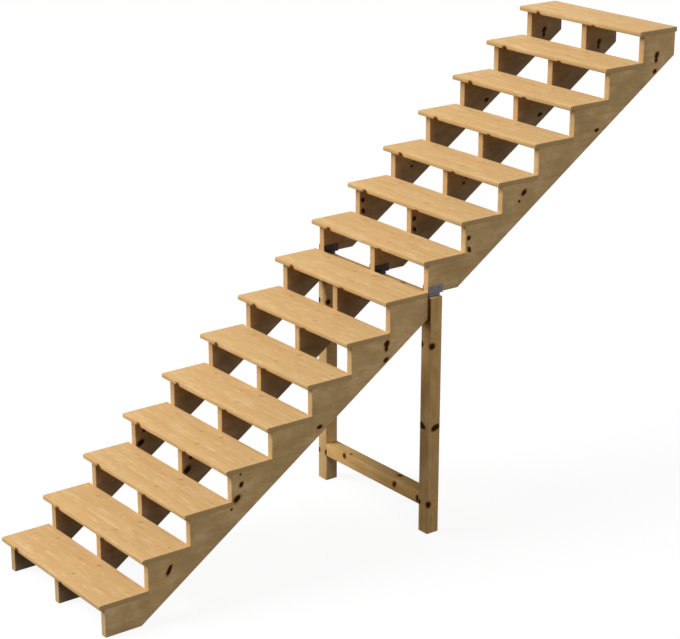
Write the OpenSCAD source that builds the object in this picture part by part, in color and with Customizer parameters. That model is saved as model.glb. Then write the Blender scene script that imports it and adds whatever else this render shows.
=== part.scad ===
// Timber stair in two straight flights: open treads on notched stringers,
// with a post-and-beam trestle and steel saddles where the flights meet.
// Millimetres. X runs across the stair, Y up the stair and Z upwards.
// The origin is at ground level, in the middle of the stair's plan.

/* [Steps] */
// Level going of a step, from one riser line to the next
going = 255; // [225:1:290]
// Height of a step, from one tread top to the next
rise = 174; // [150:1:195]
// Height of the first step, from the ground to the first tread's top
first_rise = 182; // [150:1:200]
// Number of steps in the lower flight
lower_steps = 8; // [3:1:10]
// Number of steps in the upper flight
upper_steps = 7; // [2:1:10]

/* [Treads] */
// Length of a tread, across the stair
tread_length = 1000; // [800:5:1400]
// Thickness of a tread board
tread_thickness = 27; // [20:1:40]
// How far a tread's front edge stands past its riser line
nosing = 31; // [10:1:50]
// Radius of the eased long edges of a tread
tread_easing = 3; // [1:0.5:8]
// How far the treads run past the left stringer
left_overhang = 35; // [20:1:80]
// How far the top tread runs past the upper stringers' back ends
back_overhang = 13; // [0:1:60]

/* [Stringers] */
// Thickness of a stringer plank
stringer_thickness = 40; // [30:1:60]
// Solid timber left below the notches, measured square to the slope
stringer_throat = 102; // [80:1:130]

/* [Trestle] */
// Side of the square timber of the posts, the rail and the beam
post_size = 78; // [65:1:110]
// How far the posts' middles stand to the right of their stringers' middles
post_shift = 8; // [-15:1:15]
// Radius of the eased long edges of the posts, the rail and the beam
post_easing = 4; // [1:0.5:10]
// Height of the low rail's underside above the ground
rail_height = 155; // [60:1:400]

/* [Saddles] */
// Thickness of the steel plate
plate = 5; // [3:0.5:8]
// Length of a saddle's cheeks, up the stair
cheek_length = 100; // [85:1:130]
// Height of the cheeks above the foot of the upper stringer
cheek_height = 42; // [20:1:60]
// Height of the upper stringers' feet above the tops of the posts
foot_lift = 17; // [12:1:40]

/* [Hidden] */
SIDES = ["left", "middle", "right"];

timber_colour = [0.80, 0.64, 0.42];
steel_colour = [0.33, 0.34, 0.37];

steps = lower_steps + upper_steps;
tread_depth = going + nosing;
pitch = atan2(rise, going);

// Height at which the line through the treads' tops crosses the foot of the stair
line_start = first_rise - rise;

// Drop of the stringers' underside below that line
underside_drop = tread_thickness + stringer_throat / cos(pitch);

// Where the flights meet
joint_y = lower_steps * going;
seat_top = tread_top(lower_steps) - tread_thickness;
upper_foot = seat_top + foot_lift;
saddle_base = foot_lift - plate;

// Places across the stair, measured from the treads' left ends
first_stringer = left_overhang;
last_stringer = tread_length - stringer_thickness;
stringer_pitch = (last_stringer - first_stringer) / 2;

// The origin's place: the middle of the whole plan
plan_left = min(0, post_x(0));
plan_right = max(tread_length, post_x(2) + post_size);
middle_x = (plan_left + plan_right) / 2;
middle_y = (steps * going - nosing) / 2;

function stringer_x(side) = first_stringer + side * stringer_pitch;
function stringer_middle(side) = stringer_x(side) + stringer_thickness / 2;
function post_x(side) = stringer_middle(side) + post_shift - post_size / 2;
function tread_top(step) = line_start + step * rise;
function underside(y) = line_start + y * rise / going - underside_drop;
function underside_y(z) = (z - line_start + underside_drop) * going / rise;

module place() {
    translate([-middle_x, -middle_y, 0]) children();
}

// Rectangle with eased corners
module eased_rectangle(width, height, easing) {
    translate([easing, 0]) square([width - 2 * easing, height]);
    translate([0, easing]) square([width, height - 2 * easing]);
    for (x = [easing, width - easing], y = [easing, height - easing])
        translate([x, y]) circle(r = easing, $fn = 24);
}

// Turns an outline drawn in (Y, Z) into a solid of the given length along X
module along_x(length) {
    rotate([90, 0, 90]) linear_extrude(height = length) children();
}

module tread(step) {
    color(timber_colour)
        place()
            translate([0, (step - 1) * going - nosing, tread_top(step) - tread_thickness])
                along_x(tread_length)
                    eased_rectangle(tread_depth, tread_thickness, tread_easing);
}

// Notched plank that carries the steps first to last, from foot_z up to back_y
module stringer(side, first, last, foot_z, back_y) {
    foot_y = (first - 1) * going;
    notches = [
        for (step = [first : last], corner = [0, 1])
            [corner == 1 && step == last ? back_y : (step - 1 + corner) * going, tread_top(step) - tread_thickness]
    ];
    color(timber_colour)
        place()
            translate([stringer_x(side), 0, 0])
                along_x(stringer_thickness)
                    polygon(concat(
                        [[foot_y, foot_z]],
                        notches,
                        [[back_y, underside(back_y)], [underside_y(foot_z), foot_z]]
                    ));
}

module lower_stringer(side) {
    stringer(side, 1, lower_steps, 0, joint_y);
}

module upper_stringer(side) {
    stringer(side, lower_steps + 1, steps, upper_foot, steps * going - back_overhang);
}

// Trestle post, under an outer stringer
module post(side) {
    color(timber_colour)
        place()
            translate([post_x(side), joint_y, 0])
                linear_extrude(height = seat_top)
                    eased_rectangle(post_size, post_size, post_easing);
}

// Trestle timber from post to post, with its underside at the given height
module crosspiece(height) {
    inner_left = post_x(0) + post_size;
    inner_right = post_x(2);
    color(timber_colour)
        place()
            translate([inner_left, joint_y, height])
                along_x(inner_right - inner_left)
                    eased_rectangle(post_size, post_size, post_easing);
}

module low_rail() {
    crosspiece(rail_height);
}

module head_beam() {
    crosspiece(seat_top - post_size);
}

// Steel saddle: a channel round the stringer's foot, on a short box on the timber below
module saddle(side) {
    width = stringer_thickness + 2 * plate;
    color(steel_colour)
        place()
            translate([stringer_middle(side) - width / 2, joint_y, seat_top]) {
                difference() {
                    cube([width, post_size, saddle_base]);
                    translate([plate, -plate, plate])
                        cube([stringer_thickness, post_size + 2 * plate, saddle_base]);
                }
                translate([0, 0, saddle_base]) {
                    cube([width, cheek_length, plate]);
                    for (x = [0, width - plate])
                        translate([x, 0, 0]) cube([plate, cheek_length, plate + cheek_height]);
                }
            }
}

for (step = [1 : steps])
    tread(step);
for (side = [0 : 2]) {
    lower_stringer(side);
    upper_stringer(side);
    saddle(side);
}
post(0);  // left_post
post(2);  // right_post
low_rail();
head_beam();
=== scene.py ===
"""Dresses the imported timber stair: boards, trestle, saddles, fixings and the stage.

Run as a script.  Lengths are in metres, in the row frame: X across the stair,
Y up the stair, Z upwards, ground at Z = 0.
"""

import math

import bpy
import numpy as np
from bpy.props import FloatProperty, FloatVectorProperty, PointerProperty
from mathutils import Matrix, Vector


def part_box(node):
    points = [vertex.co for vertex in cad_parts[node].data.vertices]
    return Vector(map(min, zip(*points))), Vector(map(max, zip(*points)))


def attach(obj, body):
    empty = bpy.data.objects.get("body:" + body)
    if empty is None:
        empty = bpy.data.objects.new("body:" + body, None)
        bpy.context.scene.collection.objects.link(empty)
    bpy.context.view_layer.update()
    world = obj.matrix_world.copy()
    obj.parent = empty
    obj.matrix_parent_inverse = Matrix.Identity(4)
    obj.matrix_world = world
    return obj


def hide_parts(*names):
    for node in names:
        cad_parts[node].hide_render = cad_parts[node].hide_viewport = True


bl_info = {
    "name": "Timber stair dressing",
    "version": (1, 0, 0),
    "blender": (4, 5, 0),
    "location": "View3D > Sidebar > Stair",
    "description": "Planed pine boards, steel saddles and fixings for an open stair",
    "category": "Object",
}

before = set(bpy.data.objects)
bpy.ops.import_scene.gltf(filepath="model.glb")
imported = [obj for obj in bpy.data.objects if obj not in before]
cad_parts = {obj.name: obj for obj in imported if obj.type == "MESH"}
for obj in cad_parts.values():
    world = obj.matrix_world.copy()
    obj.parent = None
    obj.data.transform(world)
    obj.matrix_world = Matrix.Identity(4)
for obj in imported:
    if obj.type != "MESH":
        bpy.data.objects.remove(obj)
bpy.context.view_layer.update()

SIDES = ("left", "middle", "right")
X, Y, Z = np.eye(3)
MILLIMETRE = 0.001
QUARTER = math.pi / 2
WHITE = (1.0, 1.0, 1.0, 1.0)

# -------- setting out

TREADS = sum(name.startswith("tread_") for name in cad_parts)
FIRST_LOW, FIRST_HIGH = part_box("tread_1")
SECOND_LOW, SECOND_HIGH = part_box("tread_2")
TREAD_THICKNESS = FIRST_HIGH.z - FIRST_LOW.z
GOING = SECOND_LOW.y - FIRST_LOW.y
RISE = SECOND_HIGH.z - FIRST_HIGH.z
SLOPE = RISE / GOING
PITCH = math.atan2(RISE, GOING)
# The riser that the stringers are set out from, at their foot
FIRST_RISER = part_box("lower_right_stringer")[0].y
# The first step is a little higher than the rest
LINE_START = FIRST_HIGH.z - RISE


def underside(place, throat):
    """Height of a stringer's underside at a place up the stair.

    It is the line through the treads' tops, less a tread's thickness and the throat
    over the cosine of the pitch.
    """
    line = LINE_START + (place - FIRST_RISER) * SLOPE
    return line - TREAD_THICKNESS - throat / math.cos(PITCH)


# -------- settings


def length(name, description, default, high=10.0):
    """A length that a user may change, in metres."""
    look = {"min": 0.0, "max": high, "unit": "LENGTH", "subtype": "DISTANCE", "precision": 4}
    return FloatProperty(name=name, description=description, default=default, **look)


def colour(name, description, default):
    """A finish colour that a user may change."""
    look = {"min": 0.0, "max": 1.0, "subtype": "COLOR"}
    return FloatVectorProperty(name=name, description=description, default=default, **look)


def share(name, description, default, high=1.0):
    """A share or a strength, with no unit."""
    return FloatProperty(name=name, description=description, default=default, min=0.0, max=high)


class StairBoards(bpy.types.PropertyGroup):
    """Sizes of the planed boards."""

    tread_nose: length("Tread nose", "Radius of a tread's front arrises", 0.008)
    tread_easing: length("Tread easing", "Radius of a tread's back arrises", 0.003)
    end_easing: length("End easing", "Radius of a board's end arrises", 0.0015)
    stringer_throat: length("Stringer throat", "Timber left under the notches", 0.102)
    stringer_easing: length("Stringer easing", "Radius of a stringer's arrises", 0.002)
    post_easing: length("Post easing", "Radius of the square timbers' arrises", 0.004)


class StairSaddles(bpy.types.PropertyGroup):
    """Sizes of the steel saddles and the fixings."""

    plate: length("Plate", "Thickness of the saddle plate", 0.005)
    bend: length("Bend", "Outer radius of the folded corners", 0.006)
    bead: length("Weld bead", "Radius of the bead between box and channel", 0.0025)
    screw_radius: length("Screw head", "Radius of a round screw head", 0.006)
    coach_flats: length("Coach screw flats", "Width across a coach head's flats", 0.017)
    washer_radius: length("Washer", "Radius of a coach screw's washer", 0.015)


class StairTimber(bpy.types.PropertyGroup):
    """Colours of the oiled pine, and of the shade painted on it."""

    early: colour("Early wood", "Pale wood between the rings", (0.80, 0.535, 0.247))
    late: colour("Late wood", "Darker wood of the rings", (0.62, 0.355, 0.128))
    warm: colour("Warm streak", "Colour of the broad warm streaks", (0.76, 0.42, 0.160))
    pale: colour("Pale patch", "Wood that has been washed pale", (0.84, 0.64, 0.375))
    collar: colour("Knot collar", "Brown wood round a knot", (0.36, 0.19, 0.065))
    knot: colour("Knot", "Heart of a knot", (0.060, 0.018, 0.001))
    rim: colour("Knot rim", "Dark bark round a knot", (0.013, 0.004, 0.0005))
    red: colour("Red knot", "A sound knot in a tread's edge", (0.120, 0.042, 0.012))
    pin: colour("Pin knot", "Small sound knots in a tread's face", (0.50, 0.225, 0.070))
    end: colour("End grain", "Timber cut across the grain", (0.79, 0.52, 0.235))
    # Painted shade: what is left of the colour on faces under the treads and between the stringers
    shelter: colour("Painted shade under treads", "Share of the colour left under treads", (0.62, 0.64, 0.74))
    # Painted shade on the trestle's faces under the stair
    shade: colour("Shaded trestle", "Share of the colour left on the trestle", (0.77, 0.79, 0.81))
    # Painted shade where the stringers box the posts' fronts in
    shaded: colour("Boxed-in shade", "Share of the colour left where a stringer boxes a post in", (0.25, 0.18, 0.10))
    stain: colour("Trestle stain", "Share of the colour in the trestle's timber", (1.0, 0.94, 0.77))
    ring: length("Ring width", "Distance from one growth ring to the next", 0.0045)
    stave_width: length("Stave width", "Width of the strips that a tread is glued up from", 0.0238)
    stave_length: length("Stave length", "Length of those strips between their joints", 0.460)


class StairSteel(bpy.types.PropertyGroup):
    """Colours of the galvanised steel, and of the shade painted on it."""

    zinc: colour("Zinc", "Dull galvanised steel", (0.160, 0.160, 0.170))
    bloom: colour("Bloom", "Pale zinc crystals", (0.222, 0.220, 0.228))
    # Painted shade on the saddles' inner cheeks and fronts
    dark: colour("Dark zinc", "Zinc that has stayed damp", (0.022, 0.010, 0.002))


class StairStage(bpy.types.PropertyGroup):
    """The floor, the lamps and the camera."""

    floor_size: length("Floor size", "Side of the square floor", 80.0, high=200.0)
    floor: colour("Floor", "What the floor gives back to the stair", (0.10, 0.10, 0.10))
    high_key: share("High key", "Strength of the lamp high on the left", 2.07, 10.0)
    low_key: share("Low key", "Strength of the lamp low on the left", 1.05, 10.0)
    side_lamp: share("Side lamp", "Strength of the lamp on the right", 0.63, 10.0)
    back_lamp: share("Back lamp", "Strength of the lamp behind", 0.40, 10.0)
    rear_lamp: share("Rear lamp", "Strength of the low lamp behind on the right", 0.30, 10.0)
    fill: share("Fill", "Strength of the even light from all round", 0.04, 2.0)
    lens: share("Lens", "Focal length of the camera, in millimetres", 108.07, 300.0)
    camera_place: FloatVectorProperty(
        name="Camera place",
        description="Where the camera stands",
        default=(8.388, -6.452, 4.8225),
        unit="LENGTH",
        subtype="XYZ_LENGTH",
    )
    camera_turn: FloatVectorProperty(
        name="Camera turn",
        description="How the camera is turned about X, Y and Z",
        default=tuple(math.radians(a) for a in (70.827, -0.158, 52.807)),
        unit="ROTATION",
        subtype="EULER",
    )


class StairSettings(bpy.types.PropertyGroup):
    """Everything that a user may change before the stair is dressed."""

    boards: PointerProperty(type=StairBoards)
    saddles: PointerProperty(type=StairSaddles)
    timber: PointerProperty(type=StairTimber)
    steel: PointerProperty(type=StairSteel)
    stage: PointerProperty(type=StairStage)


# -------- shapes


def arcs(centres, radii, starts, sweeps, steps=5):
    """Points along a row of arcs, as an (n, 2) array.

    A point is centre + radius * (cos a, sin a), with the angle a run from the
    arc's start through its sweep.
    """
    centres, radii, starts, sweeps = map(np.array, (centres, radii, starts, sweeps))
    angle = starts[:, None] + sweeps[:, None] * np.linspace(0, 1, steps)
    turned = np.stack([np.cos(angle), np.sin(angle)], axis=-1)
    return (centres[:, None] + radii[:, None, None] * turned).reshape(-1, 2)


def eased_outline(low, high, easing, near=None):
    """Rectangle with rounded corners, anticlockwise: four quarter circles.

    Each one's centre stands in from both sides by its radius, which is the easing,
    or on the near side the near radius where one is given.
    """
    near = easing if near is None else near
    radii = np.array([easing, near, near, easing])
    corners = np.array([high, (low[0], high[1]), low, (high[0], low[1])])
    centres = corners + radii[:, None] * [(-1, -1), (1, -1), (1, 1), (-1, 1)]
    return arcs(centres, radii, np.arange(4) * QUARTER, np.full(4, QUARTER))


def folded_channel(low, high, plate, bend, easing=0.8 * MILLIMETRE):
    """U-shaped section of folded plate, anticlockwise.

    Quarter circles again: the bend outside, the bend less the plate inside, where
    they turn the other way, and a small easing at the tops of the two cheeks.
    """
    inner = bend - plate
    left, right, floor, top = low[0], high[0], low[1], high[1]
    table = [
        ((left + bend, floor + bend), bend, 2 * QUARTER, QUARTER),
        ((right - bend, floor + bend), bend, 3 * QUARTER, QUARTER),
        ((right - easing, top - easing), easing, 0.0, QUARTER),
        ((right - plate + easing, top - easing), easing, QUARTER, QUARTER),
        ((right - plate - inner, floor + plate + inner), inner, 0.0, -QUARTER),
        ((left + plate + inner, floor + plate + inner), inner, -QUARTER, -QUARTER),
        ((left + plate - easing, top - easing), easing, 0.0, QUARTER),
        ((left + easing, top - easing), easing, QUARTER, QUARTER),
    ]
    centres, radii, starts, sweeps = zip(*table)
    return arcs(centres, radii, starts, sweeps)


def inward_mitres(outline):
    """For each corner, the step that moves both of its sides in by one unit.

    The sides' inward normals are added and divided by one plus their dot product.
    """
    side = np.roll(outline, -1, axis=0) - outline
    side /= np.linalg.norm(side, axis=1, keepdims=True)
    normal = np.stack([-side[:, 1], side[:, 0]], axis=1)
    before = np.roll(normal, 1, axis=0)
    lean = 1.0 + (normal * before).sum(axis=1, keepdims=True)
    return (normal + before) / lean


def eased_ends(start, stop, easing, steps=4):
    """Stations along a board and how far its outline is drawn in at each.

    Round an end arris the angle runs from 0 to 90 degrees: the station is the
    radius times one less its cosine, and the inset the radius times one less its sine.
    """
    angle = np.linspace(0.0, QUARTER, steps)
    run = easing * (1.0 - np.cos(angle))
    inset = easing * (1.0 - np.sin(angle))
    stations = np.concatenate([start + run, stop - run[::-1]])
    return stations, np.concatenate([inset, inset[::-1]])


def laid_along(grid, stations, axes):
    """Rings of outline points at their stations; the axes are the outline's and the path's."""
    points = np.empty(grid.shape[:2] + (3,))
    points[..., axes[0]] = grid[..., 0]
    points[..., axes[1]] = grid[..., 1]
    points[..., axes[2]] = stations[:, None]
    return points.reshape(-1, 3)


def capped_rings(rings, corners):
    """Quads from ring to ring, all the way round, and one face on each end."""
    index = np.arange(rings * corners).reshape(rings, corners)
    after = np.roll(index, -1, axis=1)
    quads = np.stack([index[:-1], after[:-1], after[1:], index[1:]], axis=-1)
    return quads.reshape(-1, 4).tolist() + [index[0, ::-1].tolist(), index[-1].tolist()]


def swept_board(outline, stations, insets, axes):
    """Closed outline carried along a straight path, as (points, faces).

    A point is outline(j) plus inset(i) times mitre(j), at station(i).  The axes are
    the two of the outline and the one of the path, as a right-handed triple.
    """
    grid = outline[None] + insets[:, None, None] * inward_mitres(outline)[None]
    return laid_along(grid, stations, axes), capped_rings(*grid.shape[:2])


def swept_tube(outer, inner, stations, insets, axes):
    """Tube with a hole right through, as (points, faces).

    A point is the outline drawn into the wall by the inset, at station(i): out
    along the outer outline and back along the inner one, and the last ring joins
    the first.
    """
    drawn_in = insets[:, None, None]
    there = outer[None] + drawn_in * inward_mitres(outer)[None]
    back = inner[None] - drawn_in * inward_mitres(inner)[None]
    grid = np.concatenate([there, back[::-1]])
    points = laid_along(grid, np.concatenate([stations, stations[::-1]]), axes)
    index = np.arange(len(points)).reshape(grid.shape[:2])
    onward = np.roll(index, -1, axis=0)
    after = np.roll(index, -1, axis=1)
    beyond = np.roll(onward, -1, axis=1)
    return points, np.stack([index, after, beyond, onward], axis=-1).reshape(-1, 4).tolist()


def weld_bead(x, z, start, stop, radius, rings=61, angles=10, ripple=3 * MILLIMETRE):
    """Bead of weld laid along Y from start to stop, as (points, faces).

    Its radius is full along the middle and falls to a hair at both ends, by the
    square root of one less the fourth power of the way from the middle.  It swells
    and shrinks by a twelfth part once every ripple.
    """
    way = np.linspace(-1.0, 1.0, rings)[:, None]
    run = (way + 1) / 2 * (stop - start)
    swell = 1.0 + np.cos(run * 2 * math.pi / ripple) / 12
    size = radius * np.sqrt(np.clip(1.0 - way**4, 0.0, None)) * swell + 0.01 * MILLIMETRE
    angle = np.arange(angles) * 2 * math.pi / angles
    grid = np.stack([x + size * np.cos(angle), z - size * np.sin(angle)], axis=-1)
    return laid_along(grid, start + run[:, 0], (0, 2, 1)), capped_rings(rings, angles)


def turned_surface(radius, height, centres, out):
    """Copies of a surface of (ring, angle) set on an upright plane, as (points, faces).

    A point stands at centre + radius * (cos a * right + sin a * up) + height * out.
    The radius and the height are (rings, angles) arrays, inmost ring first, and
    right, up and out are a right-handed triple.
    """
    rings, angles = radius.shape
    turn = np.arange(angles) * 2 * math.pi / angles
    right = np.cross(Z, out)
    one = (
        (radius * np.cos(turn))[..., None] * right
        + (radius * np.sin(turn))[..., None] * Z
        + height[..., None] * out
    ).reshape(-1, 3)
    one = np.vstack([one, out * height[0].mean()])
    index = np.arange(rings * angles).reshape(rings, angles)
    after = np.roll(index, -1, axis=1)
    quads = np.stack([index[:-1], index[1:], after[1:], after[:-1]], axis=-1).reshape(-1, 4)
    fan = np.stack([np.full(angles, rings * angles), index[0], after[0]], axis=-1)
    faces = quads.tolist() + fan.tolist() + [index[-1, ::-1].tolist()]
    return together(*((one + centre, faces) for centre in centres))


def screw_head(radius, lobes=6, angles=36):
    """Round screw head with a star recess, as its (ring, angle) radii and heights.

    The recess wall is a circle with a wave of the given lobes; outside it the head
    is a low dome, a quarter of an ellipse down to its edge.
    """
    turn = np.arange(angles) * 2 * math.pi / angles
    star = 0.42 * radius * (1.0 + 0.16 * np.cos(lobes * turn))
    dome = np.linspace(0.0, QUARTER, 6)[:, None]
    reach = star + (radius - star) * np.sin(dome)
    rise = radius * (0.12 + 0.38 * np.cos(dome)) * np.ones_like(star)
    rim = np.full(angles, radius)
    radii = np.vstack([star * 0.55, star * 0.9, star, reach, rim])
    heights = np.vstack([0.14 * rim, 0.14 * rim, 0.44 * rim, rise, -0.5 * rim])
    return radii, heights


def coach_head(flats, washer, plate=1.6 * MILLIMETRE, angles=36):
    """Six-sided head on a round washer, as its (ring, angle) radii and heights.

    A side of the head is half the flats over the cosine of the angle from that
    side's middle; its top is turned to a circle, and the washer lies under it.
    """
    turn = np.arange(angles) * 2 * math.pi / angles
    from_side = (turn + math.pi / 6) % (math.pi / 3) - math.pi / 6
    side = flats / 2 / np.cos(from_side)
    circle = np.full(angles, flats / 2 * 0.93)
    rim = np.full(angles, washer)
    top = plate + 0.42 * flats
    drop = (side - circle) * math.tan(math.radians(30))
    radii = np.vstack([circle * 0.5, circle, side, side, rim, rim * 1.02, rim])
    levels = [top, top, top - drop, plate, plate, 0.6 * plate, -MILLIMETRE]
    return radii, np.vstack([np.broadcast_to(level, angles) for level in levels])


def together(*shapes):
    """Several shapes as one: their points in a row and their faces moved on to match."""
    points, faces, start = [], [], 0
    for some, more in shapes:
        points.append(some)
        faces += [[corner + start for corner in face] for face in more]
        start += len(some)
    return np.vstack(points), faces


def new_piece(name, points, faces, crisp_from=math.radians(28)):
    """A piece at the origin, smooth but for edges that turn by more than the angle."""
    mesh = bpy.data.meshes.new(name)
    mesh.from_pydata(points.tolist(), [], faces)
    mesh.validate()
    mesh.update()
    mesh.shade_smooth()
    mesh.set_sharp_from_angle(angle=crisp_from)
    piece = bpy.data.objects.new(name, mesh)
    bpy.context.scene.collection.objects.link(piece)
    return piece


def new_board(name, outline, start, stop, easing, axes=(1, 2, 0)):
    """A piece with one outline from start to stop, and eased arrises at both ends."""
    return new_piece(name, *swept_board(outline, *eased_ends(start, stop, easing), axes))


def read_vectors(items, field):
    """A vector of each of a mesh's points or faces, as an (n, 3) array."""
    values = np.empty(len(items) * 3, np.float32)
    items.foreach_get(field, values)
    return values.reshape(-1, 3)


def note(mesh, name, values):
    """Stores a vector for each point or a number for each face, for a finish to read."""
    values = np.ascontiguousarray(values, np.float32)
    if values.ndim == 2:
        mesh.attributes.new(name, "FLOAT_VECTOR", "POINT").data.foreach_set("vector", values.ravel())
    else:
        mesh.attributes.new(name, "FLOAT", "FACE").data.foreach_set("value", values)


def note_grain(piece, axes, origin, shift):
    """Gives a board its own coordinates: along the grain, across and through it.

    Each is the dot product of the point, less the origin, with one of the axes.
    How far a face is cut across the grain is its normal's dot product with the grain,
    squared.  The shift moves the figure, so that no two boards are cut alike.
    """
    mesh = piece.data
    axes = np.array(axes, float)
    points = read_vectors(mesh.vertices, "co") - np.asarray(origin, np.float32)
    note(mesh, "grain_place", points @ axes.T)
    note(mesh, "figure_shift", np.tile(shift, (len(points), 1)))
    note(mesh, "end_grain", (read_vectors(mesh.polygons, "normal") @ axes[0]) ** 2)


WAYS = {"right": X, "left": -X, "back": Y, "front": -Y, "up": Z, "down": -Z}


def note_painted_shade(piece, **amounts):
    """Says how much painted shade a piece's faces get, from 0 to 1, by the way that they look.

    A face looks a way where its normal's part along it is over nine tenths.
    """
    normals = read_vectors(piece.data.polygons, "normal")
    shelter = np.zeros(len(normals))
    for way, amount in amounts.items():
        shelter[normals @ WAYS[way] > 0.9] = amount
    note(piece.data, "shelter", shelter)


def inner_faces(side):
    """Full painted shade for the faces that look along the stair's width, but not outwards."""
    return {"right": float(side != "right"), "left": float(side != "left")}


def finish_piece(piece, material, slot, *nodes):
    """Gives a piece its finish, rides it on the stair and hides the parts that it replaces."""
    piece.data.materials.append(material)
    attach(piece, "root")
    if nodes:
        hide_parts(*nodes)


# -------- finishes


class Finish:
    """A finish being mixed for a material or the world: its nodes and their links."""

    def __init__(self, owner):
        owner.use_nodes = True
        self.owner = owner
        self.tree = owner.node_tree
        self.tree.nodes.clear()

    def add(self, kind, feeds=None, **settings):
        """A shader node with its settings, and its sockets linked or given a value."""
        node = self.tree.nodes.new("ShaderNode" + kind)
        for key, value in settings.items():
            setattr(node, key, value)
        for key, value in (feeds or {}).items():
            self.feed(node.inputs[key], value)
        return node

    def feed(self, socket, value):
        """Links an output to a socket, or sets the socket's own value."""
        if isinstance(value, bpy.types.NodeSocket):
            self.tree.links.new(value, socket)
        else:
            socket.default_value = value

    def maths(self, operation, *values):
        """One sum on one or two numbers."""
        return self.add("Math", dict(enumerate(values)), operation=operation).outputs[0]

    def plus(self, first, *others):
        """All of the numbers added up."""
        for value in others:
            first = self.maths("ADD", first, value)
        return first

    def times(self, first, *others):
        """All of the numbers multiplied together."""
        for value in others:
            first = self.maths("MULTIPLY", first, value)
        return first

    def bell(self, away, rate):
        """One where away is nothing, and e to the minus rate times its square elsewhere."""
        return self.maths("POWER", math.e, self.times(away, away, -rate))

    def vectors(self, operation, *values):
        """One sum on vectors; a length comes out as a number."""
        node = self.add("VectorMath", dict(enumerate(values)), operation=operation)
        return node.outputs["Value" if operation == "LENGTH" else "Vector"]

    def parts(self, place):
        """The three numbers of a place."""
        return self.add("SeparateXYZ", {0: place}).outputs

    def noted(self, name, output="Fac"):
        """A value stored in the piece's own mesh."""
        return self.add("Attribute", attribute_name=name).outputs[output]

    def noise(self, place, waves, detail=2.0, roughness=0.5):
        """Smooth noise between 0 and 1, with so many waves to the metre along each axis."""
        feeds = {
            "Vector": self.vectors("MULTIPLY", place, waves),
            "Scale": 1.0,
            "Detail": detail,
            "Roughness": roughness,
        }
        return self.add("TexNoise", feeds).outputs["Fac"]

    def spread(self, value, low, high, to_low=0.0, to_high=1.0, kind="LINEAR"):
        """A range of numbers drawn out to another, and held at its ends."""
        feeds = {"Value": value, "From Min": low, "From Max": high, "To Min": to_low, "To Max": to_high}
        return self.add("MapRange", feeds, interpolation_type=kind).outputs["Result"]

    def eased(self, *numbers):
        """A spread that sets out and comes to rest smoothly."""
        return self.spread(*numbers, kind="SMOOTHSTEP")

    def blend(self, amount, first, second, mode="MIX"):
        """Two colours laid over each other by an amount."""
        node = self.add("Mix", {0: amount}, data_type="RGBA", blend_type=mode)
        # The node has sockets A and B for numbers and vectors too: these are the colours'
        for place, value in ((6, first), (7, second)):
            if not isinstance(value, bpy.types.NodeSocket):
                value = (*value, 1.0)
            self.feed(node.inputs[place], value)
        return node.outputs[2]

    def bumps(self, height, strength, depth):
        """The surface's normal, turned by a height."""
        feeds = {"Strength": strength, "Distance": depth, "Height": height}
        return self.add("Bump", feeds).outputs[0]

    def where_seen(self, hidden, shown):
        """One shader for the camera, reflections and glass, and another for the rest."""
        rays = self.add("LightPath").outputs
        seen = self.maths("MAXIMUM", rays["Is Camera Ray"], rays["Is Glossy Ray"])
        seen = self.maths("MAXIMUM", seen, rays["Is Transmission Ray"])
        return self.add("MixShader", {0: seen, 1: hidden.outputs[0], 2: shown.outputs[0]})

    def surface(self, shader, output="OutputMaterial"):
        """Ends in the shader and hands back what the finish is for."""
        self.add(output, {"Surface": shader.outputs[0]})
        return self.owner


# A joint in a tread's strips stands this far from its left end, before it is moved
STAVE_START = 0.285

# Waves to the metre of each noise in the wood: along the grain, across and through
BEND_WAVES = (1.6, 9.0, 9.0)
RIPPLE_WAVES = (9.0, 45.0, 45.0)
STREAK_WAVES = (0.9, 42.0, 42.0)
PATCH_WAVES = (3.2, 2.4, 2.4)
FIBRE_WAVES = (22.0, 900.0, 900.0)
PORE_WAVES = (60.0, 520.0, 520.0)

# How far the noises and the knots move the growth rings, in metres
BEND_SIZE = 0.040
RIPPLE_SIZE = 0.0022
KNOT_SWELL = 0.016
PIN_SWELL = 0.006


def nearest_knot(mix, place, knots):
    """How far a place is from the nearest knot, as 1 at that knot's edge.

    A knot is an ellipsoid: its place, its half sizes and its turns about the
    across and the through directions.  The place is turned into the knot's own
    axes, divided by the half sizes, and its length taken.
    """
    nearest = None
    for centre, half, across_turn, through_turn in knots:
        feeds = {
            "Vector": place,
            "Location": centre,
            "Rotation": (0.0, math.radians(across_turn), math.radians(through_turn)),
            "Scale": half,
        }
        own = mix.add("Mapping", feeds, vector_type="TEXTURE").outputs[0]
        away = mix.vectors("LENGTH", own)
        nearest = away if nearest is None else mix.maths("MINIMUM", nearest, away)
    return nearest


def glued_staves(mix, place, timber):
    """One number and one shift for each strip of a board that is glued up from strips.

    A strip's row is its place across the board over the stave width, rounded down.
    The joints of a row are moved along by a fifth of the stave length at most, and
    white noise of the row and of the strip's place in it gives both results.
    """
    along, across, _ = mix.parts(place)
    row = mix.maths("FLOOR", mix.maths("DIVIDE", across, timber.stave_width))
    stagger = mix.add("TexWhiteNoise", {"W": row}, noise_dimensions="1D").outputs["Value"]
    run = mix.maths("DIVIDE", mix.maths("SUBTRACT", along, STAVE_START), timber.stave_length)
    run = mix.maths("FLOOR", mix.plus(run, mix.times(stagger, 0.2)))
    cell = mix.add("CombineXYZ", {"X": run, "Y": row}).outputs[0]
    drawn = mix.add("TexWhiteNoise", {"Vector": cell}).outputs
    return drawn["Value"], drawn["Color"]


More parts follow.
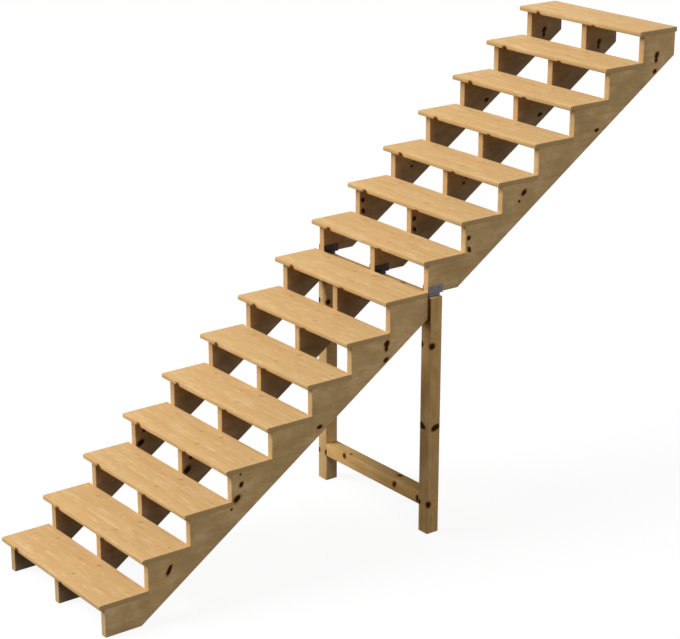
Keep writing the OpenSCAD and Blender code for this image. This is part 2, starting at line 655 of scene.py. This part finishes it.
def pine(
    name,
    timber,
    knots,
    pins=(),
    *,
    pith,
    tread_top=None,
    shaded_from=None,
    lay=0.0,
    heart=None,
    rings=1.0,
    contrast=1.0,
    mottle=(6.0, 19.0, 19.0),
    stained=0.0,
    shade=None,
):
    """Oiled pine, worked out through the whole board from its own coordinates.

    The growth rings are the distance from the pith, which runs along the grain,
    plus a slow bend, a ripple and a swelling round each knot.  Within a ring the
    wood darkens slowly to the late wood and turns pale again at once.  Broad warm
    streaks, patches and fine fibres are noise drawn out along the grain.

    A board given a tread top height is glued up from strips, and has painted light: paler on
    its top, above that height, and darker on its other faces.  A post has painted shade from a
    little under the length given upward, on its faces with painted shade, where the stringers
    box its front in.  The lay turns the figure about the board's thickness and leaves the
    knots, and the heart is their colour if not black.
    """
    mix = Finish(bpy.data.materials.new(name))
    place = mix.noted("grain_place", "Vector")
    shelter = mix.noted("shelter")
    along, _, through = mix.parts(place)
    laid = mix.add("Mapping", {"Vector": place, "Rotation": (0.0, 0.0, lay)}).outputs[0]
    figure = mix.vectors("ADD", laid, mix.noted("figure_shift", "Vector"))
    if tread_top is not None:
        stave, moved = glued_staves(mix, place, timber)
        figure = mix.vectors("ADD", figure, mix.vectors("MULTIPLY", moved, (0.8, 0.05, 0.05)))

    # Growth rings, which swell round the knots
    away = nearest_knot(mix, place, knots)
    ripple = mix.noise(figure, RIPPLE_WAVES)
    from_pith = mix.vectors("MULTIPLY", mix.vectors("SUBTRACT", laid, pith), (0.0, 1.0, 1.0))
    radius = mix.plus(
        mix.vectors("LENGTH", from_pith),
        mix.times(mix.noise(figure, BEND_WAVES), BEND_SIZE),
        mix.times(ripple, RIPPLE_SIZE),
        mix.times(mix.bell(away, 0.22), KNOT_SWELL),
    )
    if pins:
        faint = nearest_knot(mix, place, pins)
        radius = mix.plus(radius, mix.times(mix.bell(faint, 0.3), PIN_SWELL))
    turn = mix.maths("FRACT", mix.maths("DIVIDE", radius, timber.ring))
    late = mix.times(mix.eased(turn, 0.25, 0.9), mix.eased(turn, 0.92, 1.0, 1.0, 0.0))

    # Streaks, patches and fibres
    streak = mix.noise(figure, STREAK_WAVES, detail=3.0, roughness=0.55)
    patch = mix.noise(figure, PATCH_WAVES)
    cloud = mix.noise(figure, mottle, detail=3.0, roughness=0.68)
    fibre = mix.noise(figure, FIBRE_WAVES, roughness=0.6)
    strength = mix.spread(patch, 0.35, 0.65, 0.28 * rings, 0.52 * rings)
    tone = mix.blend(mix.times(late, strength), timber.early, timber.late)
    warmth = mix.eased(streak, 0.42, 0.72, 0.0, 0.50)
    lift = mix.times(
        mix.spread(patch, 0.25, 0.75, 1 - 0.07 * contrast, 1 + 0.07 * contrast),
        mix.spread(fibre, 0.25, 0.75, 0.96, 1.04),
        mix.eased(cloud, 0.3, 0.7, 1 - 0.05 * contrast, 1 + 0.05 * contrast),
    )
    if tread_top is not None:
        warmth = mix.plus(mix.times(warmth, 0.5), mix.spread(stave, 0.0, 1.0, 0.36, 0.0))
        # Painted light: the tread's top paler, its other faces darker
        lit_top = mix.eased(through, tread_top - 2 * MILLIMETRE, tread_top, 0.90, 1.115)
        lift = mix.times(lift, mix.spread(stave, 0.0, 1.0, 0.98, 1.02), lit_top)
    tone = mix.blend(warmth, tone, timber.warm)
    tone = mix.blend(mix.eased(cloud, 0.50, 0.74, 0.0, 0.55), tone, timber.pale)
    grey = mix.add("CombineColor", dict.fromkeys(range(3), lift)).outputs[0]
    tone = mix.blend(1.0, tone, grey, "MULTIPLY")
    # Short dark pores
    pore = mix.eased(mix.noise(figure, PORE_WAVES, detail=1.0), 0.68, 0.78, 0.0, 0.35)
    tone = mix.blend(pore, tone, timber.late)
    # End grain soaks up the oil
    cut = mix.eased(mix.noted("end_grain"), 0.25, 0.95, 0.0, 0.75)
    tone = mix.blend(cut, tone, mix.blend(late, timber.end, timber.end * 0.62))

    # Knots: a warm halo, a brown heart with rings of its own, and a dark rim
    tone = mix.blend(mix.eased(away, 1.0, 2.1, 0.55, 0.0), tone, timber.warm)
    rough_edge = mix.plus(away, mix.spread(ripple, 0.2, 0.8, -0.26, 0.26))
    tone = mix.blend(mix.eased(rough_edge, 0.95, 1.5, 0.8, 0.0), tone, timber.collar)
    core, bark = (timber.knot, timber.rim) if heart is None else (heart, heart * 0.55)
    growth = mix.maths("FRACT", mix.times(rough_edge, 4.5))
    middle = mix.blend(mix.spread(growth, 0.5, 1.0, 0.0, 0.55), core, bark)
    middle = mix.blend(mix.eased(rough_edge, 0.55, 0.95, 0.0, 0.9), middle, bark)
    inside = mix.eased(rough_edge, 0.76, 1.06, 1.0, 0.0)
    tone = mix.blend(inside, tone, middle)
    if pins:
        soft_edge = mix.plus(faint, mix.spread(ripple, 0.2, 0.8, -0.25, 0.25))
        tone = mix.blend(mix.eased(soft_edge, 0.3, 1.7, 0.5, 0.0), tone, timber.pin)
    tone = mix.blend(stained, tone, timber.stain, "MULTIPLY")
    # Sheltered faces have had no sun
    # Painted shade: each face darkened by its noted amount towards the shade colour
    tone = mix.blend(shelter, tone, timber.shelter if shade is None else shade, "MULTIPLY")
    if shaded_from is not None:
        # Painted shade where the stringer boxes a post's front in: darker from a little under that
        # height up, on faces with painted shade
        shaded = mix.eased(along, shaded_from - 0.08, shaded_from + 0.01)
        shaded = mix.times(shaded, mix.spread(shelter, 0.0, 0.1))
        tone = mix.blend(shaded, tone, timber.shaded, "MULTIPLY")

    # Late wood and knots stand a hair proud and shine a little more
    relief = mix.plus(mix.times(late, 0.35), mix.times(fibre, 0.55), mix.times(inside, 0.7))
    relief = mix.plus(relief, mix.times(pore, -1.6))
    sheen = mix.spread(fibre, 0.2, 0.8, 0.66, 0.56)
    feeds = {
        "Base Color": tone,
        "Roughness": mix.plus(sheen, mix.times(late, -0.06), mix.times(cut, 0.15)),
        "Specular IOR Level": 0.03,
        "Normal": mix.bumps(relief, 0.5, 0.25 * MILLIMETRE),
    }
    return mix.surface(mix.add("BsdfPrincipled", feeds))


def galvanised(name, steel, spangle=110.0):
    """Dull galvanised steel: zinc crystals in patches, with a soft bloom.

    The crystals are Voronoi cells, as many to the metre as the spangle says, each a
    little paler or darker than the next.
    """
    mix = Finish(bpy.data.materials.new(name))
    place = mix.add("TexCoord").outputs["Object"]
    crystals = mix.add("TexVoronoi", {"Vector": place, "Scale": spangle})
    cell = mix.add("SeparateColor", {0: crystals.outputs["Color"]}).outputs[0]
    cloud = mix.noise(place, (28.0, 28.0, 28.0), detail=3.0)
    fine = mix.noise(place, (700.0, 700.0, 700.0))
    amount = mix.plus(mix.times(cell, 0.45), mix.spread(cloud, 0.35, 0.7, 0.0, 0.5))
    tone = mix.blend(amount, steel.zinc, steel.bloom)
    relief = mix.plus(mix.times(cell, 0.4), mix.times(fine, 0.6))
    feeds = {
        # Painted shade: faces darkened towards the dark zinc by their noted amount
        "Base Color": mix.blend(mix.noted("shelter"), tone, steel.dark),
        "Metallic": 0.35,
        "Specular IOR Level": 0.25,
        "Roughness": mix.spread(mix.plus(cell, fine), 0.4, 1.6, 0.42, 0.62),
        "Normal": mix.bumps(relief, 0.35, 0.1 * MILLIMETRE),
    }
    return mix.surface(mix.add("BsdfPrincipled", feeds))


def board_knot(along, across, long_half, wide_half, turn=0):
    """A knot that runs right through a board."""
    return ((along, across, 0.0), (long_half, wide_half, 0.5), 0, turn)


# A knot is its place along, across and through the board, its half sizes the same
# way, and its turns in degrees about the across and the through directions
TREAD_KNOTS = [
    ((0.160, -0.003, 0.004), (0.020, 0.012, 0.018), 0, 0),
    ((0.620, -0.001, 0), (0.018, 0.009, 0.011), 0, 0),
]
TREAD_PINS = [
    board_knot(0.603, 0.086, 0.013, 0.009, 35),
    board_knot(0.603, 0.236, 0.015, 0.010, 35),
    board_knot(0.188, 0.233, 0.011, 0.008, 20),
    board_knot(0.477, 0.200, 0.008, 0.006),
    board_knot(0.950, 0.193, 0.008, 0.006),
]
LOWER_STRINGER_KNOTS = [
    board_knot(0.462, 0.002, 0.030, 0.012, 25),
    board_knot(1.055, 0.090, 0.007, 0.006),
    board_knot(1.025, 0.040, 0.016, 0.012, 20),
    board_knot(0.962, -0.004, 0.025, 0.016, 10),
    board_knot(0.906, -0.026, 0.008, 0.007),
    board_knot(1.547, -0.079, 0.017, 0.012, -20),
    board_knot(2.118, -0.026, 0.020, 0.015, 20),
    board_knot(2.098, -0.048, 0.016, 0.011, 50),
    board_knot(2.062, -0.098, 0.018, 0.011),
]
UPPER_STRINGER_KNOTS = [
    board_knot(2.845, 0.059, 0.013, 0.012),
    board_knot(2.812, 0.005, 0.011, 0.017),
    board_knot(3.219, -0.022, 0.008, 0.007),
    board_knot(3.272, -0.004, 0.023, 0.014, 10),
    board_knot(3.859, -0.079, 0.017, 0.011, -20),
    board_knot(4.430, -0.026, 0.020, 0.015, 20),
    board_knot(4.410, -0.048, 0.016, 0.011, 50),
    board_knot(4.369, -0.096, 0.014, 0.011),
]
POST_KNOTS = [
    ((1.101, 0.078, 0.012), (0.018, 0.014, 0.018), 0, 0),
    ((1.098, 0.007, 0), (0.016, 0.012, 0.014), 0, 0),
    ((0.625, 0.078, 0.045), (0.016, 0.014, 0.028), 20, 0),
    ((0.630, 0.020, 0), (0.017, 0.028, 0.014), 0, 25),
    ((0.176, 0.076, 0.008), (0.020, 0.014, 0.016), 0, 0),
    ((0.174, 0.007, 0), (0.014, 0.010, 0.014), 0, 0),
]
POST_PINS = [((0.264, 0.070, 0), (0.010, 0.006, 0.010), 0, 0)]
RAIL_KNOTS = [
    ((0.172, 0.060, 0), (0.015, 0.015, 0.014), 0, 0),
    ((0.632, 0.044, 0), (0.016, 0.020, 0.016), 0, -35),
    ((0.618, 0.078, 0.050), (0.020, 0.012, 0.014), 0, 0),
    ((0.210, 0.078, 0.020), (0.010, 0.010, 0.010), 0, 0),
    ((0.835, 0.030, 0), (0.012, 0.020, 0.012), 0, 0),
]


# -------- operators


class DressTreads(bpy.types.Operator):
    """Planes the treads: eased pine boards in the place of the plain ones"""

    bl_idname = "stair.dress_treads"
    bl_label = "Treads"

    def execute(self, context):
        boards = context.scene.stair.boards
        timber = context.scene.stair.timber
        material = pine(
            "tread_pine",
            timber,
            TREAD_KNOTS,
            TREAD_PINS,
            pith=(0.0, 0.15, -0.05),
            tread_top=TREAD_THICKNESS - 0.5 * MILLIMETRE,
            heart=timber.red,
            rings=0.75,
            contrast=0.6,
        )
        for step in range(1, TREADS + 1):
            node = f"tread_{step}"
            low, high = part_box(node)
            outline = eased_outline(low.yz, high.yz, boards.tread_easing, near=boards.tread_nose)
            piece = new_board(f"{node}_board", outline, low.x, high.x, boards.end_easing)
            note_grain(piece, (X, Y, Z), low, (0.37 * step, 0.11 * step, 0.53 * step))
            # Painted shade under the tread
            note_painted_shade(piece, down=0.6)
            finish_piece(piece, material, "timber", node)
        return {"FINISHED"}


def stringer_outline(low, high, first, last, throat):
    """Notched outline of a stringer in (Y, Z), anticlockwise.

    It climbs by the risers and seats of its steps, falls plumb at the back, and
    comes down the underside: a line at the stair's pitch that leaves the throat,
    square to the slope, under the notches' inner corners.
    """
    steps = np.arange(first, last + 1)
    risers = FIRST_RISER + (steps - 1) * GOING
    seats = LINE_START + steps * RISE - TREAD_THICKNESS
    ends = np.append(risers[1:], high.y)
    climb = np.stack([np.stack([risers, seats], 1), np.stack([ends, seats], 1)], 1)
    back = underside(high.y, throat)
    sole = high.y + (low.z - back) / SLOPE
    outline = [[low.y, low.z], *climb.reshape(-1, 2), [high.y, back], [sole, low.z]]
    return np.array(outline)[::-1]


class DressStringers(bpy.types.Operator):
    """Cuts the six stringers: notched planks with eased arrises"""

    bl_idname = "stair.dress_stringers"
    bl_label = "Stringers"

    def execute(self, context):
        stair = context.scene.stair
        boards = stair.boards
        split = round((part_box("head_beam")[0].y - FIRST_RISER) / GOING)
        flights = (
            ("lower", 1, split, LOWER_STRINGER_KNOTS),
            ("upper", split + 1, TREADS, UPPER_STRINGER_KNOTS),
        )
        grain = (0.0, math.cos(PITCH), math.sin(PITCH))
        square = (0.0, -math.sin(PITCH), math.cos(PITCH))
        for flight, first, last, knots in flights:
            material = pine(
                f"{flight}_stringer_pine",
                stair.timber,
                knots,
                pith=(0.0, 0.05, -0.06),
                lay=PITCH,
                rings=0.25,
                contrast=2.4,
                mottle=(7.0, 12.0, 12.0),
            )
            for number, side in enumerate(SIDES):
                node = f"{flight}_{side}_stringer"
                low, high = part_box(node)
                outline = stringer_outline(low, high, first, last, boards.stringer_throat)
                piece = new_board(f"{node}_plank", outline, low.x, high.x, boards.stringer_easing)
                shift = (0.71 * number + 0.3 * first, 0.23 * number, 0.41 * number)
                note_grain(piece, (grain, square, X), (low.x, FIRST_RISER, 0.0), shift)
                # Painted shade on the inner faces and on the fronts
                front = 0.15 if side == "right" else 0.3
                note_painted_shade(piece, **inner_faces(side), front=front)
                finish_piece(piece, material, "timber", node)
        return {"FINISHED"}


class DressTrestle(bpy.types.Operator):
    """Planes the trestle: two posts, the low rail and the head beam"""

    bl_idname = "stair.dress_trestle"
    bl_label = "Trestle"

    # Each post's name, the painted shade on its front and how far it is stained
    POSTS = (("left_post", 0.1, 0.0), ("right_post", 0.38, 0.6))
    # Each crosspiece's name and the painted shade on its front
    CROSSPIECES = (("low_rail", 0.0), ("head_beam", 1.0))

    def execute(self, context):
        boards = context.scene.stair.boards
        timber = context.scene.stair.timber
        # The stringers' ends cover the posts' fronts from this height up
        covered = underside(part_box("left_post")[0].y, boards.stringer_throat)
        for number, (node, front, stained) in enumerate(self.POSTS):
            low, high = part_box(node)
            outline = eased_outline(low.xy, high.xy, boards.post_easing)
            ends = (low.z, high.z, boards.stringer_easing)
            piece = new_board(f"{node}_timber", outline, *ends, axes=(0, 1, 2))
            note_grain(piece, (Z, X, Y), low, (0.9 * number, 0.33 * number, 0.2))
            # Painted shade on the post's front and back
            note_painted_shade(piece, front=front, back=0.2)
            post_pine = pine(
                f"{node}_pine",
                timber,
                POST_KNOTS,
                POST_PINS,
                pith=(0.0, 0.025, 0.03),
                shaded_from=covered,
                rings=1.7,
                stained=stained,
                shade=timber.shade,
            )
            finish_piece(piece, post_pine, "timber", node)
        rail_pine = pine(
            "rail_pine",
            timber,
            RAIL_KNOTS,
            pith=(0.0, 0.03, 0.045),
            heart=timber.red,
            stained=1.0,
            shade=timber.shade,
        )
        for number, (node, front) in enumerate(self.CROSSPIECES):
            low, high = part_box(node)
            outline = eased_outline(low.yz, high.yz, boards.post_easing)
            piece = new_board(f"{node}_timber", outline, low.x, high.x, boards.end_easing)
            note_grain(piece, (X, Z, Y), low, (0.6 * number, 0.47 * number, 0.8))
            # Painted shade on the top, under the stair, and on the front
            note_painted_shade(piece, up=1.0, front=front)
            finish_piece(piece, rail_pine, "timber", node)
        return {"FINISHED"}


class DressSaddles(bpy.types.Operator):
    """Folds the steel saddles: a box on the trestle and a channel round the stringer"""

    bl_idname = "stair.dress_saddles"
    bl_label = "Saddles"

    # Easing of the plate's cut edges
    CUT_EDGE = 0.5 * MILLIMETRE
    # How far the weld beads stop short of the box's ends
    BEAD_INSET = 0.012

    def execute(self, context):
        sizes = context.scene.stair.saddles
        plate = sizes.plate
        steel = galvanised("saddle_steel", context.scene.stair.steel)
        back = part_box("head_beam")[1].y
        for side in SIDES:
            node = f"{side}_saddle"
            low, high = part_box(node)
            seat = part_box(f"upper_{side}_stringer")[0].z - plate
            bottom = np.array([low.z, low.x])
            top = np.array([seat, high.x])
            outer = eased_outline(bottom, top, sizes.bend)
            inner = eased_outline(bottom + plate, top - plate, sizes.bend - plate)
            ends = eased_ends(low.y, back, self.CUT_EDGE)
            box = swept_tube(outer, inner, *ends, axes=(2, 0, 1))
            section = folded_channel((low.x, seat), (high.x, high.z), plate, sizes.bend)
            ends = eased_ends(low.y, high.y, self.CUT_EDGE)
            channel = swept_board(section[::-1, ::-1], *ends, axes=(2, 0, 1))
            beads = [
                weld_bead(x, seat, low.y + self.BEAD_INSET, back - self.BEAD_INSET, sizes.bead)
                for x in (low.x + sizes.bead, high.x - sizes.bead)
            ]
            piece = new_piece(f"{node}_plate", *together(box, channel, *beads))
            # Painted shade on the inner cheeks and the front
            note_painted_shade(piece, **inner_faces(side), front=0.6)
            finish_piece(piece, steel, "steel", node)
        return {"FINISHED"}


class DressFixings(bpy.types.Operator):
    """Drives the screws: saddle screws, coach screws and screws in the trestle"""

    bl_idname = "stair.dress_fixings"
    bl_label = "Fixings"

    # How far the cheeks' screws stand in from the cheeks' ends and tops
    CHEEK_END = 0.025
    CHEEK_TOP = 0.014
    # Heights of the coach screws from the head beam's middle: in it and in the posts
    BEAM_COACH = (0.019, -0.019)
    POST_COACH = (0.019, -0.052)
    # How far the crosspieces' screws stand in, and their size beside the cheeks' screws
    CROSS_INSET = 0.022
    CROSS_SIZE = 0.75

    def execute(self, context):
        sizes = context.scene.stair.saddles
        plated = galvanised("plated_screw", context.scene.stair.steel, spangle=900.0)
        beam_low, beam_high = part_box("head_beam")
        back = beam_high.y

        # Two through each cheek of each saddle
        head = screw_head(sizes.screw_radius)
        for side in SIDES:
            low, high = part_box(f"{side}_saddle")
            level = high.z - self.CHEEK_TOP
            ends = (low.y + self.CHEEK_END, high.y - self.CHEEK_END)
            cheeks = [
                turned_surface(*head, [(x, y, level) for y in ends], way * X)
                for x, way in ((low.x, -1), (high.x, 1))
            ]
            piece = new_piece(f"{side}_saddle_screws", *together(*cheeks))
            # Painted shade on the screws in the inner cheeks
            note_painted_shade(piece, **inner_faces(side))
            finish_piece(piece, plated, "steel")

        # Two through each post, and two through the beam, into the stringers' ends
        head = coach_head(sizes.coach_flats, sizes.washer_radius)
        centre = (beam_low.z + beam_high.z) / 2
        for side in SIDES:
            low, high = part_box(f"lower_{side}_stringer")
            gaps = self.BEAM_COACH if side == "middle" else self.POST_COACH
            places = [((low.x + high.x) / 2, back, centre + gap) for gap in gaps]
            piece = new_piece(f"{side}_coach_screws", *turned_surface(*head, places, Y))
            finish_piece(piece, plated, "steel")

        # Two at each end of the rail and the beam, driven in from the back
        head = screw_head(sizes.screw_radius * self.CROSS_SIZE)
        for name, node in (("rail", "low_rail"), ("beam", "head_beam")):
            low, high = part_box(node)
            ends = (low.x + self.CROSS_INSET, high.x - self.CROSS_INSET)
            levels = (low.z + self.CROSS_INSET, high.z - self.CROSS_INSET)
            places = [(x, back, z) for x in ends for z in levels]
            piece = new_piece(f"{name}_screws", *turned_surface(*head, places, Y))
            finish_piece(piece, plated, "steel")
        return {"FINISHED"}


class SetStage(bpy.types.Operator):
    """Lays the pale floor, hangs the lamps and stands the camera"""

    bl_idname = "stair.set_stage"
    bl_label = "Stage"

    # The floor lies this far under the stair's feet
    FLOOR_DROP = 0.5 * MILLIMETRE
    # What the camera sees of the floor: how much light it gives back, and its glow
    FLOOR_TONE = 0.13
    FLOOR_GLOW = 0.91
    # Each lamp's spread in degrees, and the direction that it shines from
    LAMPS = {
        "high_key": (32, (-0.30, -0.55, 0.66)),
        "low_key": (32, (-0.60, -0.65, 0.35)),
        "side_lamp": (26, (0.78, -0.12, 0.50)),
        "back_lamp": (45, (0.0, 0.90, 0.30)),
        "rear_lamp": (30, (0.75, 0.60, 0.10)),
    }
    # How far the camera sees, in metres
    SIGHT = 200.0

    def execute(self, context):
        scene = context.scene
        stage = scene.stair.stage
        self.lay_floor(stage)
        self.light(scene, stage)
        self.stand_camera(scene, stage)
        scene.view_settings.view_transform = "Standard"
        return {"FINISHED"}

    def lay_floor(self, stage):
        """A plain square floor that looks white and keeps the stair's shadow."""
        half = stage.floor_size / 2
        corners = np.array([[-half, -half], [half, -half], [half, half], [-half, half]])
        points = np.column_stack([corners, np.full(4, -self.FLOOR_DROP)])
        floor = new_piece("floor", points, [[0, 1, 2, 3]])
        mix = Finish(bpy.data.materials.new("pale_floor"))
        dull = mix.add("BsdfDiffuse", {"Color": (*stage.floor, 1.0)})
        pale = mix.add("BsdfDiffuse", {"Color": (*[self.FLOOR_TONE] * 3, 1.0)})
        glow = mix.add("Emission", {"Color": WHITE, "Strength": self.FLOOR_GLOW})
        lit = mix.add("AddShader", {0: pale.outputs[0], 1: glow.outputs[0]})
        floor.data.materials.append(mix.surface(mix.where_seen(dull, lit)))

    def light(self, scene, stage):
        """Far, soft lamps and an even fill; the world looks white."""
        for name, (spread, towards) in self.LAMPS.items():
            lamp = bpy.data.lights.new(name, "SUN")
            lamp.energy = getattr(stage, name)
            lamp.angle = math.radians(spread)
            hung = bpy.data.objects.new(name, lamp)
            hung.rotation_euler = Vector(towards).to_track_quat("Z", "Y").to_euler()
            scene.collection.objects.link(hung)
        scene.world = bpy.data.worlds.new("studio")
        mix = Finish(scene.world)
        fill = mix.add("Background", {"Color": WHITE, "Strength": stage.fill})
        clear = mix.add("Background", {"Color": WHITE, "Strength": 1.0})
        mix.surface(mix.where_seen(fill, clear), "OutputWorld")

    def stand_camera(self, scene, stage):
        """A long lens from the right and a little above the stair's middle."""
        lens = bpy.data.cameras.new("camera")
        lens.lens = stage.lens
        lens.clip_end = self.SIGHT
        camera = bpy.data.objects.new("camera", lens)
        camera.location = stage.camera_place
        camera.rotation_euler = stage.camera_turn
        scene.collection.objects.link(camera)
        scene.camera = camera


class StairPanel(bpy.types.Panel):
    """Lists the steps that dress the stair"""

    bl_idname = "VIEW3D_PT_stair"
    bl_label = "Stair"
    bl_space_type = "VIEW_3D"
    bl_region_type = "UI"
    bl_category = "Stair"

    def draw(self, context):
        stair = context.scene.stair
        for group in ("boards", "saddles", "timber", "steel", "stage"):
            box = self.layout.box()
            box.label(text=group.capitalize())
            settings = getattr(stair, group)
            for name in settings.bl_rna.properties.keys():
                if name not in ("rna_type", "name"):
                    box.prop(settings, name)
        for operator in OPERATORS:
            self.layout.operator(operator.bl_idname)


SETTINGS = (StairBoards, StairSaddles, StairTimber, StairSteel, StairStage, StairSettings)
OPERATORS = (DressTreads, DressStringers, DressTrestle, DressSaddles, DressFixings, SetStage)
CLASSES = (*SETTINGS, *OPERATORS, StairPanel)


def register():
    """Registers the settings, the operators and the panel."""
    for made in CLASSES:
        bpy.utils.register_class(made)
    bpy.types.Scene.stair = PointerProperty(type=StairSettings)


def unregister():
    """Takes the settings, the operators and the panel away again."""
    del bpy.types.Scene.stair
    for made in reversed(CLASSES):
        bpy.utils.unregister_class(made)


def main():
    """Dresses the stair."""
    register()
    for operator in OPERATORS:
        group, name = operator.bl_idname.split(".")
        getattr(getattr(bpy.ops, group), name)()


if __name__ == "__main__":
    main()
